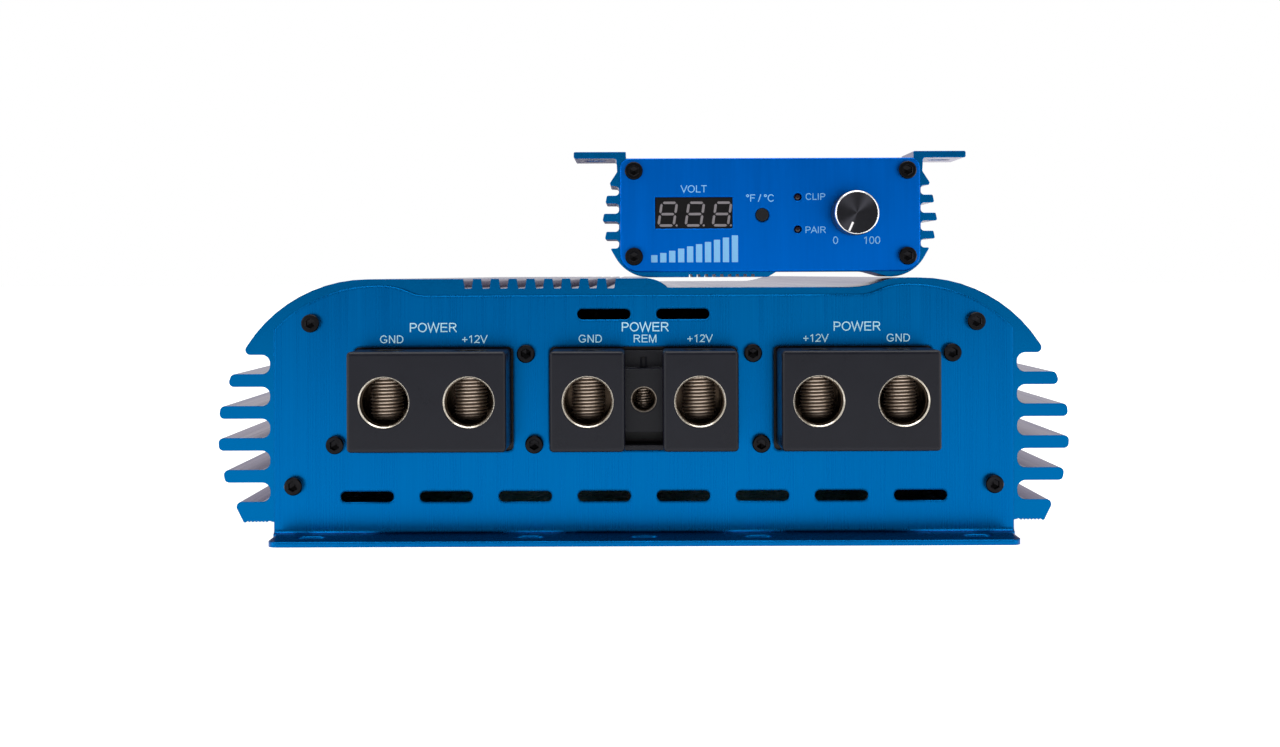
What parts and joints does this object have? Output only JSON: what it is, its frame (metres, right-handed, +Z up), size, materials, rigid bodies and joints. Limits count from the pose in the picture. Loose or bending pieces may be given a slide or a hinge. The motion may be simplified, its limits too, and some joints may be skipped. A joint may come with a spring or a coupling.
{
  "type": "car amplifier",
  "caption": "Finned blue car amplifier with clamping power blocks, slotted feet, speaker terminals, controls, circuit boards inside and a small wired level remote on top.",
  "frame": {"origin": "on the ground under the centre of the whole", "axes": "+X across the fins, +Y from the power end to the speaker end, +Z up"},
  "size_m": [0.2552, 0.5642, 0.116],
  "materials": {
    "anodised_extrusion": "blue anodised extruded aluminium, satin with fine die lines",
    "anodised_sheet": "blue anodised sheet, brushed vertically",
    "anodised_remote": "bright blue anodised aluminium",
    "black_screw": "black oxide steel",
    "black_plastic": "glass filled black nylon",
    "nickel": "nickel plated brass",
    "set_screw": "plated steel thread",
    "gold": "gold plated brass",
    "board_green": "glass epoxy circuit board",
    "capacitor": "black shrink sleeve",
    "ferrite": "coated ferrite",
    "copper": "enamelled copper",
    "steel": "zinc plated steel",
    "pad_grey": "silicone pad",
    "nylon": "white nylon",
    "knob_black": "black moulding",
    "lamp": "tinted lens",
    "display": "black display face with grey segments",
    "dial": "spun black anodised aluminium with a bright turned rim"
  },
  "bodies": {
    "chassis": {"heatsink": "anodised_extrusion", "bottom_cover": "anodised_sheet", "front_end_plate": "anodised_sheet", "rear_end_plate": "anodised_sheet", "panel_screws": "black_screw", "bottom_cover_screws": "black_screw", "power_block_left": "black_plastic", "power_block_middle": "black_plastic", "power_block_right": "black_plastic", "turn_on_terminal": "nickel", "power_terminals": "nickel", "speaker_block_right": "black_plastic", "speaker_block_left": "black_plastic", "speaker_terminals": "nickel", "input_jack_housing": "black_plastic", "input_jack_sleeves": "gold", "potentiometers": "steel", "mode_switch_case": "steel", "status_lamps": "lamp", "link_socket": "black_plastic", "main_board": "board_green", "control_board": "board_green", "driver_board": "board_green", "board_pillars": "nylon", "supply_capacitors": "capacitor", "rail_capacitors": "capacitor", "toroid_cores": "ferrite", "toroid_windings": "copper", "supply_busbars": "copper", "power_transistors": "knob_black", "insulating_pads": "pad_grey", "clamp_bars": "steel", "inner_screws": "steel"},
    "left_ground_set_screw": {"left_ground_set_screw": "set_screw"},
    "left_supply_set_screw": {"left_supply_set_screw": "set_screw"},
    "middle_ground_set_screw": {"middle_ground_set_screw": "set_screw"},
    "middle_supply_set_screw": {"middle_supply_set_screw": "set_screw"},
    "right_supply_set_screw": {"right_supply_set_screw": "set_screw"},
    "right_ground_set_screw": {"right_ground_set_screw": "set_screw"},
    "turn_on_set_screw": {"turn_on_set_screw": "set_screw"},
    "speaker_1_set_screw": {"speaker_1_set_screw": "set_screw"},
    "speaker_2_set_screw": {"speaker_2_set_screw": "set_screw"},
    "speaker_3_set_screw": {"speaker_3_set_screw": "set_screw"},
    "speaker_4_set_screw": {"speaker_4_set_screw": "set_screw"},
    "gain_knob": {"gain_knob": "knob_black"},
    "low_pass_knob": {"low_pass_knob": "knob_black"},
    "subsonic_knob": {"subsonic_knob": "knob_black"},
    "bass_knob": {"bass_knob": "knob_black"},
    "mode_switch": {"mode_switch_slider": "knob_black"},
    "remote": {"remote_housing": "anodised_remote", "remote_front_panel": "anodised_remote", "remote_rear_panel": "anodised_remote", "remote_screws": "black_screw", "remote_socket": "black_plastic", "remote_board": "board_green", "remote_display": "display", "remote_lamps": "lamp", "remote_pot": "steel"},
    "remote_knob": {"remote_knob": "dial"},
    "remote_button": {"remote_button": "knob_black"}
  },
  "joints": [
    {"name": "left_ground_screw_lift", "type": "slide", "parent": "chassis", "child": "left_ground_set_screw", "axis": [0, 0, 1], "range_m": [0, 0.0125]},
    {"name": "left_supply_screw_lift", "type": "slide", "parent": "chassis", "child": "left_supply_set_screw", "axis": [0, 0, 1], "range_m": [0, 0.0125]},
    {"name": "middle_ground_screw_lift", "type": "slide", "parent": "chassis", "child": "middle_ground_set_screw", "axis": [0, 0, 1], "range_m": [0, 0.0125]},
    {"name": "middle_supply_screw_lift", "type": "slide", "parent": "chassis", "child": "middle_supply_set_screw", "axis": [0, 0, 1], "range_m": [0, 0.0125]},
    {"name": "right_supply_screw_lift", "type": "slide", "parent": "chassis", "child": "right_supply_set_screw", "axis": [0, 0, 1], "range_m": [0, 0.0125]},
    {"name": "right_ground_screw_lift", "type": "slide", "parent": "chassis", "child": "right_ground_set_screw", "axis": [0, 0, 1], "range_m": [0, 0.0125]},
    {"name": "turn_on_screw_lift", "type": "slide", "parent": "chassis", "child": "turn_on_set_screw", "axis": [0, 0, 1], "range_m": [0, 0.0065]},
    {"name": "speaker_1_screw_lift", "type": "slide", "parent": "chassis", "child": "speaker_1_set_screw", "axis": [0, 0, 1], "range_m": [0, 0.008]},
    {"name": "speaker_2_screw_lift", "type": "slide", "parent": "chassis", "child": "speaker_2_set_screw", "axis": [0, 0, 1], "range_m": [0, 0.008]},
    {"name": "speaker_3_screw_lift", "type": "slide", "parent": "chassis", "child": "speaker_3_set_screw", "axis": [0, 0, 1], "range_m": [0, 0.008]},
    {"name": "speaker_4_screw_lift", "type": "slide", "parent": "chassis", "child": "speaker_4_set_screw", "axis": [0, 0, 1], "range_m": [0, 0.008]},
    {"name": "gain_knob_turn", "type": "hinge", "parent": "chassis", "child": "gain_knob", "pos_m": [-0.004, 0.2616, 0.05], "axis": [0, -1, 0], "range_deg": [0, 300]},
    {"name": "low_pass_knob_turn", "type": "hinge", "parent": "chassis", "child": "low_pass_knob", "pos_m": [0.008, 0.2616, 0.05], "axis": [0, -1, 0], "range_deg": [0, 300]},
    {"name": "subsonic_knob_turn", "type": "hinge", "parent": "chassis", "child": "subsonic_knob", "pos_m": [0.02, 0.2616, 0.05], "axis": [0, -1, 0], "range_deg": [0, 300]},
    {"name": "bass_knob_turn", "type": "hinge", "parent": "chassis", "child": "bass_knob", "pos_m": [0.032, 0.2616, 0.05], "axis": [0, -1, 0], "range_deg": [0, 300]},
    {"name": "mode_switch_slide", "type": "slide", "parent": "chassis", "child": "mode_switch", "axis": [1, 0, 0], "range_m": [0, 0.004]},
    {"name": "remote_lift_off", "type": "slide", "parent": "chassis", "child": "remote", "axis": [0, 0, 1], "range_m": [0, 0.05]},
    {"name": "remote_knob_turn", "type": "hinge", "parent": "remote", "child": "remote_knob", "pos_m": [0.0636, -0.2536, 0.0968], "axis": [0, 1, 0], "range_deg": [0, 300]},
    {"name": "remote_button_press", "type": "slide", "parent": "remote", "child": "remote_button", "axis": [0, 1, 0], "range_m": [0, 0.0005], "stiffness_N_per_m": 400}
  ]
}
